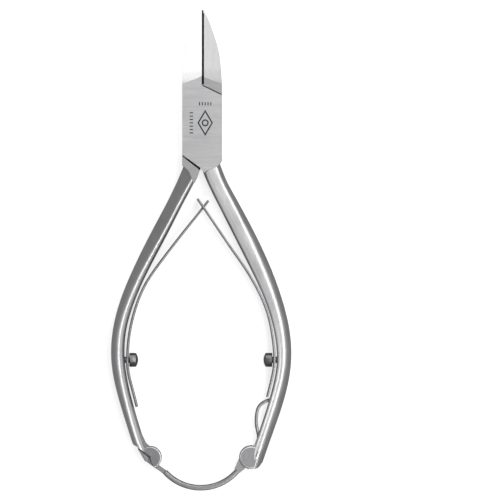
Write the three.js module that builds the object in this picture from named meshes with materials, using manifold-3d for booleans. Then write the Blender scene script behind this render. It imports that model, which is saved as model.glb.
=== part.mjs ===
// A 13 cm nail nipper with a box joint, two crossed leaf springs and a locking strap.
// Millimetres. The jaws point along +Y, the front face looks along +Z, and the origin is on
// the pivot axis, in the plane of the underside.
import * as THREE from 'three';
import { mergeVertices } from 'three/addons/utils/BufferGeometryUtils.js';
import { LoftGeometry } from 'three/addons/geometries/LoftGeometry.js';
import Module from 'manifold-3d';

const wasm = await Module();
wasm.setup();

// Overall sizes
const THICKNESS = 9.3;
const MIDDLE = THICKNESS / 2;
const BEYOND = 3; // how far a cutter reaches past what it cuts

// Box joint
const BOX_HALF_WIDTH = 5.6;
const TONGUE_RADIUS = 9.9;
const TONGUE_THICKNESS = 3.3;
const SLOT_THICKNESS = 3.6;
const SLOT_RADIUS = 10.15;
const PIN_RADIUS = 1.5;
const PIN_CLEARANCE = 0.12;
const PIN_SOCKET_DEPTH = 1.9;
const ROUND_SEGMENTS = 48;
const CURVE_SEGMENTS = 10;

const PIVOT = new THREE.Vector2(0, 0);
const SEAM_GAP = 0.33;
const RIGHT_SEAM_Y = 9; // the cheeks' top edge, at the right side of the box
const CENTRE_SEAM_Y = 11.7; // and at the parting plane
const LEFT_SEAM_Y = -7.75; // the cheeks' bottom edge, at the left side of the box
const YOKE_Y = -11.5; // and at its lower end, between the handles

// Jaws
const TIP_Y = 33.2;
const EDGE_GAP = 0.06; // from the parting plane to each cutting edge
const JAW_ROOT_Y = 9;
const BEVEL_TILT = THREE.MathUtils.degToRad(14.5);
const BEVEL_WHEEL_RADIUS = 8;
const BEVEL_DEPTH = 0.66;
const BEVEL_LOWEST_Y = 17.7;
const RELIEF_START_Y = 15.5;
const RELIEF_HALF_WIDTH = 1.5;
const RELIEF_TOP = THICKNESS - 1.1;
const BEVEL_WHEEL_START = THREE.MathUtils.degToRad(222);
const BEVEL_FALL = 0.25;
const BEVEL_TIP_FALL = 1.2;
const JAW_SIDE = [
  [0.3, TIP_Y], [1.4, 31.3], [2.8, 27.9], [3.95, 24.5], [4.8, 21.2], [5.35, 16.5],
  [BOX_HALF_WIDTH, 12], [BOX_HALF_WIDTH, JAW_ROOT_Y],
];
const JAW_BACK = [
  [8, 0], [13, 0.1], [17, 0.5], [21, 1.3], [25.3, 2.65], [28.3, 3.9], [31, 5.8], [TIP_Y, 7.75],
];

// Handles: stations of [x, y, width, depth, roundness], from the box to the end
const CORNER_HEIGHT = 3.25;
const RINGS_PER_STATION = 3;
const CORNER_SEGMENTS = 4;
const RIGHT_HANDLE = [
  [3.0, -12.4, 5.3, 9.28, 0.08],
  [4.6, -16.2, 5.2, 8.85, 0.3],
  [6.5, -19.9, 5.3, 8.9, 0.75],
  [11.8, -30.0, 5.6, 9.2, 0.97],
  [16.8, -40.3, 5.3, 9.25, 0.97],
  [20.3, -49.0, 4.7, 9.2, 0.97],
  [22.6, -57.8, 4.35, 9.1, 0.97],
  [23.15, -66.6, 4.0, 9.0, 0.97],
  [21.5, -75.6, 4.0, 8.5, 0.97],
  [18.1, -86.2, 3.8, 7.8, 0.97],
  [15.9, -92.6, 3.7, 7.4, 0.97],
  [14.3, -97.4, 3.6, 7.2, 0.97],
];
const LEFT_HANDLE = [
  [-3.4, -12.6, 4.6, 9.28, 0.08],
  [-5.1, -16.3, 4.4, 8.85, 0.3],
  [-7.0, -20.1, 4.2, 8.9, 0.75],
  [-12.3, -30.3, 4.3, 9.2, 0.97],
  [-17.6, -40.7, 4.0, 9.25, 0.97],
  [-21.0, -48.7, 3.85, 9.2, 0.97],
  [-23.35, -57.2, 3.7, 9.1, 0.97],
  [-23.8, -66.0, 3.7, 9.0, 0.97],
  [-22.2, -75.2, 3.5, 8.5, 0.97],
  [-19.0, -86.1, 3.3, 7.6, 0.97],
  [-17.1, -91.2, 3.2, 7.0, 0.97],
  [-15.4, -94.0, 3.0, 6.8, 0.97],
];
const LOBE_RADIUS = 3.15;
const LOBE_THICKNESS = 6.6;
const LOBE_EDGE_RADIUS = 0.4;
const LEFT_LOBE = new THREE.Vector2(-14.6, -93.4);
const RIGHT_LOBE = new THREE.Vector2(13.8, -93.3);
const END_Y = -96.6;

// Leaf springs: the middle line of each strip, from its tail to its tip
const LEAF_THICKNESS = 0.7;
const LEAF_WIDTH = 5;
const WINDOW_WIDTH = 3.2;
const TONGUE_TIP_WIDTH = 2.2;
const LEAVES_CROSS = new THREE.Vector2(0.3, -22.6);
const LEAF_STEPS = 30;
const LEFT_LEAF = [
  [-18.45, -79.1], [-19.95, -73.4], [-21.05, -68.4], [-21.15, -65.0], [-20.75, -59.5],
  [-19.55, -53.5], [-17.75, -48.0], [-15.6, -43.6], [-12.9, -39.6], [-9.3, -34.8],
  [-3.0, -26.8], [1.8, -20.7],
];
const RIGHT_LEAF = [
  [18.45, -76.3], [19.55, -71.8], [20.3, -68.0], [20.45, -65.0], [20.0, -59.8],
  [18.8, -53.6], [17.1, -48.8], [14.9, -44.4], [12.4, -40.2], [9.0, -35.3],
  [3.4, -27.1], [-1.3, -20.2],
];

// Spring screws
const SCREW_Y = -65.8;
const SCREW_HEAD_RADIUS = 1.98;
const SCREW_HEAD_HEIGHT = 1.85;
const SCREW_DOME_HEIGHT = 0.65;
const SCREW_SHANK_RADIUS = 0.9;
const SCREW_SHANK_LENGTH = 3.2;
const SCREW_SLOT_WIDTH = 0.6;
const SCREW_SLOT_DEPTH = 0.8;
const SCREW_HOLE_CLEARANCE = 0.2;
const LEFT_SCREW_SEAT_X = -20.6;
const RIGHT_SCREW_SEAT_X = 19.85;

// Locking strap
const STRAP_THICKNESS = 1.45;
const STRAP_WIDTH = 4.8;
const STRAP_CENTRE = new THREE.Vector2(-0.4, -88.4);
const STRAP_RADIUS = 13.6;
const STRAP_SHOULDER = THREE.MathUtils.degToRad(222.5);
const STRAP_ROOT = THREE.MathUtils.degToRad(320);
const EYE_RADIUS = 3.3;
const EYE_WIDTH = 3;
const FORK_SLOT_WIDTH = 3.4;
const FORK_SLOT_RADIUS = 3.6;
const HINGE_PIN_RADIUS = 0.8;
const HINGE_PIN_LENGTH = 5.8;
const NECK_WIDTH = 2.4;
const GROOVE_WIDTH = 3.2;
const HEAD_WIDTH = 6.3;
const HEAD_FACE_X = -15.05;
const HEAD_WALL_X = -14.45;
const LATCH_SPRING_THICKNESS = 0.9;
const LATCH_SPRING_WIDTH = 2.8;
const LATCH_SPRING_GAP = 0.25;
const LATCH_SPRING = [
  [19.5, -77.0], [17.8, -77.6], [16.1, -79.0], [15.4, -81.5], [15.4, -84.5], [15.9, -87.2],
  [15.9, -89.1],
];

function vectors(points) {
  return points.map(([x, y]) => new THREE.Vector2(x, y));
}

// --- Solids from three.js geometry ---------------------------------------------------------

const X_AXIS = new THREE.Vector3(1, 0, 0);
const Y_AXIS = new THREE.Vector3(0, 1, 0);
const Z_AXIS = new THREE.Vector3(0, 0, 1);

function solid(geometry) {
  const bare = new THREE.BufferGeometry();
  bare.setAttribute('position', geometry.attributes.position);
  bare.setIndex(geometry.index);
  const merged = mergeVertices(bare, 1e-4);
  return new wasm.Manifold(new wasm.Mesh({
    numProp: 3,
    vertProperties: new Float32Array(merged.attributes.position.array),
    triVerts: new Uint32Array(merged.index.array),
  }));
}

function geometryOf(manifold) {
  const mesh = manifold.getMesh();
  const geometry = new THREE.BufferGeometry();
  geometry.setAttribute('position', new THREE.BufferAttribute(mesh.vertProperties, 3));
  geometry.setIndex(new THREE.BufferAttribute(mesh.triVerts, 1));
  return geometry;
}

// An outline drawn on the axes (right, up) and extruded along right x up.
function extruded(outline, length, right = X_AXIS, up = Y_AXIS) {
  const shape = outline instanceof THREE.Shape ? outline : new THREE.Shape(outline);
  const geometry = new THREE.ExtrudeGeometry(shape, {
    depth: length, bevelEnabled: false, curveSegments: CURVE_SEGMENTS,
  });
  const along = new THREE.Vector3().crossVectors(right, up);
  return geometry.applyMatrix4(new THREE.Matrix4().makeBasis(right, up, along));
}

// A plan outline made solid between two heights.
function plate(outline, bottom, top) {
  return solid(extruded(outline, top - bottom).translate(0, 0, bottom));
}

// A plate of the given width about the middle plane.
function middlePlate(outline, width) {
  return plate(outline, MIDDLE - width / 2, MIDDLE + width / 2);
}

function disc(centre, radius, bottom, top) {
  const cylinder = new THREE.CylinderGeometry(radius, radius, top - bottom, ROUND_SEGMENTS);
  return solid(cylinder.rotateX(Math.PI / 2).translate(centre.x, centre.y, (top + bottom) / 2));
}

function middleDisc(centre, radius, width) {
  return disc(centre, radius, MIDDLE - width / 2, MIDDLE + width / 2);
}

// A strip of the given thickness about a curve in plan.
function stripPlan(curve, thickness, steps) {
  const left = [];
  const right = [];
  for (let step = 0; step <= steps; step += 1) {
    const point = curve.getPointAt(step / steps);
    const tangent = curve.getTangentAt(step / steps);
    const normal = new THREE.Vector2(-tangent.y, tangent.x).multiplyScalar(thickness / 2);
    left.push(point.clone().add(normal));
    right.push(point.clone().sub(normal));
  }
  return [...left, ...right.reverse()];
}

// --- Jaws ----------------------------------------------------------------------------------

// Plan of the right jaw above its root; the left jaw is its mirror image.
function jawPlan(side) {
  const outer = new THREE.SplineCurve(vectors(JAW_SIDE)).getPoints(22);
  const root = new THREE.Vector2(EDGE_GAP, JAW_ROOT_Y);
  const plan = [root, ...outer.reverse(), new THREE.Vector2(EDGE_GAP, TIP_Y)];
  return plan.map((point) => new THREE.Vector2(side * point.x, point.y));
}

// Everything under the curve of the jaws' back, which rises to the tip.
function backCutter() {
  const back = new THREE.SplineCurve(vectors(JAW_BACK)).getPoints(26);
  const tip = back[back.length - 1];
  const below = vectors([[TIP_Y + BEYOND, tip.y + BEYOND], [TIP_Y + BEYOND, -BEYOND], [back[0].x, -BEYOND]]);
  const geometry = extruded([...back, ...below], 4 * BOX_HALF_WIDTH, Y_AXIS, Z_AXIS);
  return solid(geometry.translate(-2 * BOX_HALF_WIDTH, 0, 0));
}

// The front bevel: a grinding-wheel arc that runs out into a shallow slope, tilted outwards.
function bevelCutter(side) {
  const lowest = -BEVEL_DEPTH;
  const wheel = lowest + BEVEL_WHEEL_RADIUS;
  const profile = new THREE.Shape();
  profile.absarc(BEVEL_LOWEST_Y, wheel, BEVEL_WHEEL_RADIUS, BEVEL_WHEEL_START, Math.PI * 1.5, false);
  profile.lineTo(TIP_Y - 2.2, lowest - BEVEL_FALL);
  profile.lineTo(TIP_Y + BEYOND, lowest - BEVEL_FALL - BEVEL_TIP_FALL);
  profile.lineTo(TIP_Y + BEYOND, wheel);
  const geometry = extruded(profile, 4 * BOX_HALF_WIDTH, Y_AXIS, Z_AXIS);
  geometry.translate(-2 * BOX_HALF_WIDTH, 0, 0).rotateY(side * BEVEL_TILT);
  return solid(geometry.translate(0, 0, THICKNESS));
}

// A wedge of air behind the cutting edges.
function reliefCutter() {
  const wedge = vectors([[-RELIEF_HALF_WIDTH, -BEYOND], [RELIEF_HALF_WIDTH, -BEYOND], [0, RELIEF_TOP]]);
  const length = TIP_Y + BEYOND - RELIEF_START_Y;
  return solid(extruded(wedge, length, X_AXIS, Z_AXIS).translate(0, TIP_Y + BEYOND, 0));
}

function jaw(side) {
  return plate(jawPlan(side), 0, THICKNESS)
    .subtract(backCutter())
    .subtract(bevelCutter(side))
    .subtract(reliefCutter());
}

// --- Handles -------------------------------------------------------------------------------

// A closed ring: a rectangle with elliptical corners, across the handle's path.
function handleRing(centre, across, width, depth, roundness) {
  const cornerX = roundness * width / 2;
  const cornerZ = roundness * CORNER_HEIGHT;
  const ring = [];
  for (let corner = 0; corner < 4; corner += 1) {
    const signX = corner === 0 || corner === 3 ? 1 : -1;
    const signZ = corner < 2 ? 1 : -1;
    for (let step = 0; step <= CORNER_SEGMENTS; step += 1) {
      const angle = (corner + step / CORNER_SEGMENTS) * Math.PI / 2;
      const x = signX * (width / 2 - cornerX) + Math.cos(angle) * cornerX;
      const z = signZ * (depth / 2 - cornerZ) + Math.sin(angle) * cornerZ;
      ring.push(new THREE.Vector3(centre.x + across.x * x, centre.y + across.y * x, MIDDLE + z));
    }
  }
  return ring;
}

function handle(stations) {
  const path = new THREE.SplineCurve(vectors(stations));
  const size = new THREE.CatmullRomCurve3(
    stations.map(([, , width, depth, roundness]) => new THREE.Vector3(width, depth, roundness)),
    false, 'catmullrom', 0.5);
  const ringCount = (stations.length - 1) * RINGS_PER_STATION;
  const rings = [];
  for (let index = 0; index <= ringCount; index += 1) {
    const tangent = path.getTangent(index / ringCount);
    const across = new THREE.Vector2(-tangent.y, tangent.x);
    const { x: width, y: depth, z: roundness } = size.getPoint(index / ringCount);
    rings.push(handleRing(path.getPoint(index / ringCount), across, width, depth, roundness));
  }
  return solid(new LoftGeometry(rings, { capStart: true, capEnd: true }));
}

// A round lobe with flat faces and rounded edges.
function lobe(centre) {
  const flat = LOBE_THICKNESS / 2;
  const inner = LOBE_RADIUS - LOBE_EDGE_RADIUS;
  const outline = new THREE.Path();
  outline.moveTo(0, -flat);
  outline.lineTo(inner, -flat);
  outline.absarc(inner, LOBE_EDGE_RADIUS - flat, LOBE_EDGE_RADIUS, -Math.PI / 2, 0, false);
  outline.absarc(inner, flat - LOBE_EDGE_RADIUS, LOBE_EDGE_RADIUS, 0, Math.PI / 2, false);
  outline.lineTo(0, flat);
  const turned = new THREE.LatheGeometry(outline.getPoints(4), ROUND_SEGMENTS / 2);
  return solid(turned.rotateX(Math.PI / 2).translate(centre.x, centre.y, MIDDLE));
}

// --- The box half: left jaw, cheeks and right handle ---------------------------------------

function cheekPlan() {
  return vectors([
    [-BOX_HALF_WIDTH, LEFT_SEAM_Y], [-0.45, YOKE_Y], [0.1, YOKE_Y - 0.8], [0.9, -14.2], [5.75, -12.6],
    [BOX_HALF_WIDTH, -10.2], [BOX_HALF_WIDTH, RIGHT_SEAM_Y], [-EDGE_GAP, CENTRE_SEAM_Y],
    [-BOX_HALF_WIDTH, CENTRE_SEAM_Y],
  ]);
}

// The slot in which the tongue turns: a disc, open on the tongue half's two sides.
function slotCutter() {
  const reach = 4 * BOX_HALF_WIDTH;
  const upperRight = vectors([[-EDGE_GAP, 0], [reach, 0], [reach, reach], [-EDGE_GAP, reach]]);
  const lowerLeft = vectors([[-0.1, 0], [-0.1, -reach], [-reach, -reach], [-reach, 0]]);
  return middleDisc(PIVOT, SLOT_RADIUS, SLOT_THICKNESS)
    .add(middlePlate(upperRight, SLOT_THICKNESS))
    .add(middlePlate(lowerLeft, SLOT_THICKNESS));
}

// The fork in the right lobe is open below and outwards, where the strap swings.
function forkCutter() {
  const { x, y } = RIGHT_LOBE;
  const below = vectors([[x - 5, y], [x - 5, y - 6], [x + 7, y - 6], [x + 7, y]]);
  return middleDisc(RIGHT_LOBE, FORK_SLOT_RADIUS, FORK_SLOT_WIDTH)
    .add(middlePlate(below, FORK_SLOT_WIDTH));
}

function boxHalf() {
  const web = vectors([[16.3, -86.2], [14.9, -89.6], RIGHT_LOBE.toArray(), [16.5, -92], [18.5, -86]]);
  const endTrim = vectors([
    [5, END_Y], [14.9, END_Y], [15.7, -96.35], [16.3, -95.85], [16.8, -95], [20, -93.5],
    [20, -105], [5, -105],
  ]);
  const pinReach = SLOT_THICKNESS + 2 * (PIN_SOCKET_DEPTH + PIN_CLEARANCE);
  return plate(cheekPlan(), 0, THICKNESS)
    .add(jaw(-1))
    .add(handle(RIGHT_HANDLE))
    .add(lobe(RIGHT_LOBE))
    .add(middlePlate(web, LOBE_THICKNESS - 0.6))
    .subtract(plate(endTrim, -BEYOND, THICKNESS + BEYOND))
    .subtract(slotCutter())
    .subtract(middleDisc(PIVOT, PIN_RADIUS + PIN_CLEARANCE, pinReach))
    .subtract(forkCutter())
    .subtract(middleDisc(RIGHT_LOBE, HINGE_PIN_RADIUS + PIN_CLEARANCE, HINGE_PIN_LENGTH + 2 * PIN_CLEARANCE))
    .subtract(latchSpringPocket())
    .subtract(screwHole(1, RIGHT_SCREW_SEAT_X));
}

// --- The tongue half: right jaw, tongue and left handle ------------------------------------

function tonguePlan() {
  const upperRight = vectors([
    [EDGE_GAP, 0], [BOX_HALF_WIDTH, 0], [BOX_HALF_WIDTH, RIGHT_SEAM_Y + 1], [EDGE_GAP, CENTRE_SEAM_Y + 1],
  ]);
  const lowerLeft = vectors([
    [-0.5, 0], [-0.5, YOKE_Y - 0.6], [-BOX_HALF_WIDTH, LEFT_SEAM_Y - 1], [-BOX_HALF_WIDTH, 0],
  ]);
  return { upperRight, lowerLeft };
}

function tongue() {
  const { upperRight, lowerLeft } = tonguePlan();
  const width = BOX_HALF_WIDTH;
  const box = vectors([[-width, -width * 2], [width, -width * 2], [width, width * 2], [-width, width * 2]]);
  return middleDisc(PIVOT, TONGUE_RADIUS, TONGUE_THICKNESS)
    .intersect(middlePlate(box, TONGUE_THICKNESS))
    .add(middlePlate(upperRight, TONGUE_THICKNESS))
    .add(middlePlate(lowerLeft, TONGUE_THICKNESS));
}

// The right jaw stops above the seam with the cheeks.
function rightJaw() {
  const below = vectors([
    [0, CENTRE_SEAM_Y + SEAM_GAP], [BOX_HALF_WIDTH, RIGHT_SEAM_Y + SEAM_GAP],
    [2 * BOX_HALF_WIDTH, RIGHT_SEAM_Y], [2 * BOX_HALF_WIDTH, 0], [0, 0],
  ]);
  return jaw(1).subtract(plate(below, -BEYOND, THICKNESS + BEYOND));
}

// The notch for the strap's head, and the groove that its neck lies in.
function notchCutter() {
  const notch = vectors([
    [-20, -89.4], [-18.4, -90.25], [HEAD_WALL_X, -93.1], [HEAD_WALL_X, -94.1], [-13.1, -97], [-20, -100],
  ]);
  const groove = vectors([[-16.5, -92], [-9.5, -97.5], [-9.5, -100], [-20, -100]]);
  return plate(notch, -BEYOND, THICKNESS + BEYOND).add(middlePlate(groove, GROOVE_WIDTH));
}

function tongueHalf() {
  const yoke = vectors([
    [-BOX_HALF_WIDTH, LEFT_SEAM_Y - 0.5], [-BOX_HALF_WIDTH, -10.2], [-5.7, -12.6], [-1.45, -14.2],
    [-0.75, YOKE_Y - 0.55],
  ]);
  const web = vectors([[-17.5, -86], [-15.9, -89.4], [-14.3, -90.8], LEFT_LOBE.toArray(), [-17.4, -91]]);
  return rightJaw()
    .add(tongue())
    .add(plate(yoke, 0, THICKNESS))
    .add(handle(LEFT_HANDLE))
    .add(lobe(LEFT_LOBE))
    .add(middlePlate(web, LOBE_THICKNESS - 0.6))
    .subtract(middleDisc(PIVOT, PIN_RADIUS + PIN_CLEARANCE, THICKNESS))
    .subtract(notchCutter())
    .subtract(screwHole(-1, LEFT_SCREW_SEAT_X));
}

// --- Leaf springs and their screws ---------------------------------------------------------

function leaf(points) {
  const curve = new THREE.SplineCurve(vectors(points));
  return middlePlate(stripPlan(curve, LEAF_THICKNESS, LEAF_STEPS), LEAF_WIDTH);
}

// A window in the right leaf, around the place where the leaves cross.
function rightSpring() {
  const { x, y } = LEAVES_CROSS;
  const window = vectors([[x + 2.6, y - 5], [x + 4, y - 1], [x - 1.9, y + 1.6], [x - 3, y - 3]]);
  return leaf(RIGHT_LEAF)
    .subtract(middlePlate(window, WINDOW_WIDTH))
    .subtract(screwHole(1, RIGHT_SCREW_SEAT_X - 1));
}

// The left leaf is narrow where it passes through the window.
function leftSpring() {
  const { x, y } = LEAVES_CROSS;
  const side = vectors([[x + 5, y - 1], [x, y + 5], [x - 6, y - 1], [x - 1.2, y - 5]]);
  const narrow = plate(side, -BEYOND, THICKNESS + BEYOND).subtract(middlePlate(side, TONGUE_TIP_WIDTH));
  return leaf(LEFT_LEAF)
    .subtract(narrow)
    .subtract(screwHole(-1, LEFT_SCREW_SEAT_X + 1));
}

function screwHole(side, seatX) {
  const length = SCREW_SHANK_LENGTH + SCREW_HOLE_CLEARANCE + Math.abs(seatX) - 18;
  const radius = SCREW_SHANK_RADIUS + SCREW_HOLE_CLEARANCE;
  const cylinder = new THREE.CylinderGeometry(radius, radius, length, 24).rotateZ(Math.PI / 2);
  return solid(cylinder.translate(side * (18 + length / 2), SCREW_Y, MIDDLE));
}

// A cheese-head screw with a low dome and a slot; its head points along -side.
function springScrew(side, seatX) {
  const outline = new THREE.Path();
  const domeRadius = (SCREW_HEAD_RADIUS ** 2 + SCREW_DOME_HEIGHT ** 2) / (2 * SCREW_DOME_HEIGHT);
  const domeAngle = Math.asin(SCREW_HEAD_RADIUS / domeRadius);
  const top = SCREW_HEAD_HEIGHT + SCREW_DOME_HEIGHT;
  outline.moveTo(0, -SCREW_SHANK_LENGTH);
  outline.lineTo(SCREW_SHANK_RADIUS, -SCREW_SHANK_LENGTH);
  outline.lineTo(SCREW_SHANK_RADIUS, 0);
  outline.lineTo(SCREW_HEAD_RADIUS, 0);
  outline.absarc(0, top - domeRadius, domeRadius, Math.PI / 2 - domeAngle, Math.PI / 2, false);
  const body = solid(new THREE.LatheGeometry(outline.getPoints(3), 24));
  const slot = new THREE.BoxGeometry(3 * SCREW_HEAD_RADIUS, 2 * SCREW_SLOT_DEPTH, SCREW_SLOT_WIDTH);
  return body.subtract(solid(slot.translate(0, top, 0)))
    .rotate([0, 0, side * 90])
    .translate([seatX, SCREW_Y, MIDDLE]);
}

// --- Latch ---------------------------------------------------------------------------------

function strapBand() {
  const { x, y } = STRAP_CENTRE;
  const half = STRAP_THICKNESS / 2;
  const band = new THREE.Shape();
  band.absarc(x, y, STRAP_RADIUS + half, STRAP_SHOULDER, STRAP_ROOT, false);
  band.absarc(x, y, STRAP_RADIUS - half, STRAP_ROOT, STRAP_SHOULDER, true);
  return band;
}

function latchStrap() {
  const { x, y } = RIGHT_LOBE;
  const root = vectors([
    [9.2, -96.5], [10.6, -97.8], [12.4, -96.3], [x, y], [x - EYE_RADIUS, y - 0.4], [9.6, -95.6],
  ]);
  const neck = vectors([[-16.1, -92.9], [-9.9, -97.3], [-10.6, -98.3], [-16.1, -94.35]]);
  const head = vectors([[-18.2, -90.85], [HEAD_FACE_X, -93.35], [HEAD_FACE_X, -94.35], [-16.1, -94.45]]);
  return middlePlate(strapBand(), STRAP_WIDTH)
    .add(middlePlate(root, EYE_WIDTH))
    .add(middleDisc(RIGHT_LOBE, EYE_RADIUS, EYE_WIDTH))
    .add(middlePlate(neck, NECK_WIDTH))
    .add(middlePlate(head, HEAD_WIDTH))
    .subtract(middleDisc(RIGHT_LOBE, HINGE_PIN_RADIUS + PIN_CLEARANCE, THICKNESS));
}

function latchSpring() {
  const curve = new THREE.SplineCurve(vectors(LATCH_SPRING));
  return middlePlate(stripPlan(curve, LATCH_SPRING_THICKNESS, 24), LATCH_SPRING_WIDTH);
}

// The strip's two ends lie in this pocket in the right handle.
function latchSpringPocket() {
  const curve = new THREE.SplineCurve(vectors([[20.2, -76.8], ...LATCH_SPRING, [15.3, -90.4]]));
  const thickness = LATCH_SPRING_THICKNESS + 2 * LATCH_SPRING_GAP;
  return middlePlate(stripPlan(curve, thickness, 28), LATCH_SPRING_WIDTH + 2 * LATCH_SPRING_GAP);
}

// --- Assembly ------------------------------------------------------------------------------

const satinSteel = { color: 0xb4b6b8, metalness: 0.9, roughness: 0.38 };
const springSteel = { color: 0x9c9ea0, metalness: 0.9, roughness: 0.3 };
const screwSteel = { color: 0x7c7e80, metalness: 0.9, roughness: 0.4 };
const strapSteel = { color: 0x9a9b9c, metalness: 0.9, roughness: 0.36 };

const group = new THREE.Group();

function addPiece(name, body, finish) {
  const mesh = new THREE.Mesh(geometryOf(body), new THREE.MeshStandardMaterial(finish));
  mesh.name = name;
  group.add(mesh);
}

const pivotPin = middleDisc(PIVOT, PIN_RADIUS, SLOT_THICKNESS + 2 * PIN_SOCKET_DEPTH);
const latchHingePin = middleDisc(RIGHT_LOBE, HINGE_PIN_RADIUS, HINGE_PIN_LENGTH);

addPiece('box_half', boxHalf(), satinSteel);
addPiece('tongue_half', tongueHalf(), satinSteel);
addPiece('pivot_pin', pivotPin, screwSteel);
addPiece('left_spring', leftSpring(), springSteel);
addPiece('right_spring', rightSpring(), springSteel);
addPiece('left_spring_screw', springScrew(-1, LEFT_SCREW_SEAT_X), screwSteel);
addPiece('right_spring_screw', springScrew(1, RIGHT_SCREW_SEAT_X), screwSteel);
addPiece('latch_strap', latchStrap(), strapSteel);
addPiece('latch_hinge_pin', latchHingePin, screwSteel);
addPiece('latch_spring', latchSpring(), springSteel);

export default group;
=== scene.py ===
"""A 13 cm nail nipper with a box joint, two crossed leaf springs and a locking strap.

Run as a script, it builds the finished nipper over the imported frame. The jaws point along +Y
and the front face looks along +Z. Outlines are listed in millimetres, and every Blender length
is in metres.
"""
import math

import bmesh
import bpy
import numpy as np
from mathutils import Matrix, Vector


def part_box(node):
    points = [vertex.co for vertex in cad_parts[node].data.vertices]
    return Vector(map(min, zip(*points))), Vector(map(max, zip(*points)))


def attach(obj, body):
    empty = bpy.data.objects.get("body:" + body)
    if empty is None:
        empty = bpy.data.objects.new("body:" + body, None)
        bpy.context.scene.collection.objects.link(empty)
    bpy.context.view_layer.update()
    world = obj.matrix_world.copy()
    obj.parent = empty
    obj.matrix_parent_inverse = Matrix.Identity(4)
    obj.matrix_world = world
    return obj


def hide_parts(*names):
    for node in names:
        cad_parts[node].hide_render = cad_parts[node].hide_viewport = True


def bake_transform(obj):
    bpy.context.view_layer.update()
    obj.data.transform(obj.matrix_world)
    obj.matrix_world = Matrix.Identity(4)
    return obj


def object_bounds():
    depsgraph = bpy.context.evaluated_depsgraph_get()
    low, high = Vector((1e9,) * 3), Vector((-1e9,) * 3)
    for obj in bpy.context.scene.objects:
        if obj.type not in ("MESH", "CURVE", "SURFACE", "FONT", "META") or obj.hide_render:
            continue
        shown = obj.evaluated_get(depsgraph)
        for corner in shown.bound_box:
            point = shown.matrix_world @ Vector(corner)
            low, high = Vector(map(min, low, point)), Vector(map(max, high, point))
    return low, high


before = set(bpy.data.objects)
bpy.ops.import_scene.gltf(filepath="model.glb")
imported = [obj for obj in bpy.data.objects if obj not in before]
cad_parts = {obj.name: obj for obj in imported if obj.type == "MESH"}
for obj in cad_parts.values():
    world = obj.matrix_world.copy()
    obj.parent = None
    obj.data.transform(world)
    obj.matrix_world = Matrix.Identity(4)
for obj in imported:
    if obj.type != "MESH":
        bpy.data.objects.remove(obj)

bl_info = {
    "name": "Nail Nipper",
    "version": (1, 0, 0),
    "blender": (4, 5, 0),
    "location": "View3D > Sidebar > Nipper",
    "description": "Builds a box-joint nail nipper with leaf springs and a locking strap",
    "category": "Add Mesh",
}

MM = 0.001
CAD_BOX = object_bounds()
BEYOND = 3.0  # how far a cutter reaches past what it cuts, in mm
DOUBLES_APART = 1e-7
SHARP_ANGLE = math.radians(40)


def in_mm(value):
    return value / MM


HALF_HIGH = Vector(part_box("box_half")[1]) / MM
HINGE_LOW, HINGE_HIGH = (corner / MM for corner in map(Vector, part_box("latch_hinge_pin")))
TIP_Y = HALF_HIGH.y
FRONT = HALF_HIGH.z
MIDDLE = FRONT / 2

# Plans of the jaws, the handles and the springs, in mm
EDGE_GAP = 0.06
BOX_HALF_WIDTH = 5.6
JAW_ROOT_Y = 9.0
JAW_SIDE = [
    (0.3, TIP_Y), (1.4, 31.3), (2.8, 27.9), (3.95, 24.5), (4.8, 21.2), (5.35, 16.5),
    (BOX_HALF_WIDTH, 12.0), (BOX_HALF_WIDTH, JAW_ROOT_Y),
]
JAW_BACK = [
    (8, 0), (13, 0.1), (17, 0.5), (21, 1.3), (25.3, 2.65), (28.3, 3.9), (31, 5.8), (TIP_Y, 7.75),
]
BEVEL_TILT = math.radians(14.5)
BEVEL_WHEEL_RADIUS = 8.0
BEVEL_DEPTH = 0.66
BEVEL_LOWEST_Y = 17.7
RELIEF_START_Y = 15.5
RELIEF_HALF_WIDTH = 1.5
RELIEF_DROP = 1.1
PARTING_START_Y = 12.1
STEP_WIDTH = 0.56
STEP_DEPTH = 2.4
LIP_CLEARANCE = 0.12
# Lips under the parting line: inner x, highest y, and the depths of their two faces
LIPS = ((-1.2, 31.4, 2.3, 1.75), (-0.2, 33.1, 1.55, 1.3))

SEAM_GAP = 0.33
RIGHT_SEAM_Y = 9.0
CENTRE_SEAM_Y = 11.7
LEFT_SEAM_Y = -7.75
YOKE_Y = -11.5

ROUND = 0.97  # roundness of a handle away from its root
# Handle stations: x, y, width, depth, roundness, crest, corner height, left and right fullness
RIGHT_HANDLE = [
    (1.9, -9.4, 5.3, 9.05, 0.75, 0.25, 2.6, 2.9, 2.2),
    (3.0, -12.4, 5.3, 9.05, 0.9, 0.3, 2.6, 2.9, 2.2),
    (4.6, -16.2, 5.2, 9.0, ROUND, 0.3, 2.6, 2.8, 2.2),
    (6.5, -19.9, 5.3, 9.05, ROUND, 0.28, 2.5, 2.7, 2.1),
    (11.8, -30.0, 5.6, 9.2, ROUND, 0.18, 2.4, 2.5, 2.0),
    (16.8, -40.3, 5.3, 9.25, ROUND, 0.05, 2.2, 2.3, 2.0),
    (20.3, -49.0, 4.7, 9.2, ROUND, -0.02, 2.0, 2.2, 2.0),
    (22.6, -57.8, 4.35, 9.1, ROUND, -0.1, 1.8, 2.2, 2.0),
    (23.15, -66.6, 4.0, 9.0, ROUND, -0.16, 1.7, 2.2, 2.0),
    (21.5, -75.6, 4.0, 8.5, ROUND, -0.25, 1.7, 2.2, 2.0),
    (18.1, -86.2, 3.8, 7.8, ROUND, -0.25, 1.7, 2.2, 2.0),
    (15.9, -92.6, 3.7, 6.9, ROUND, -0.2, 1.7, 2.2, 2.0),
    (14.3, -97.4, 3.6, 5.9, ROUND, -0.2, 1.7, 2.2, 2.0),
]
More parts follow.
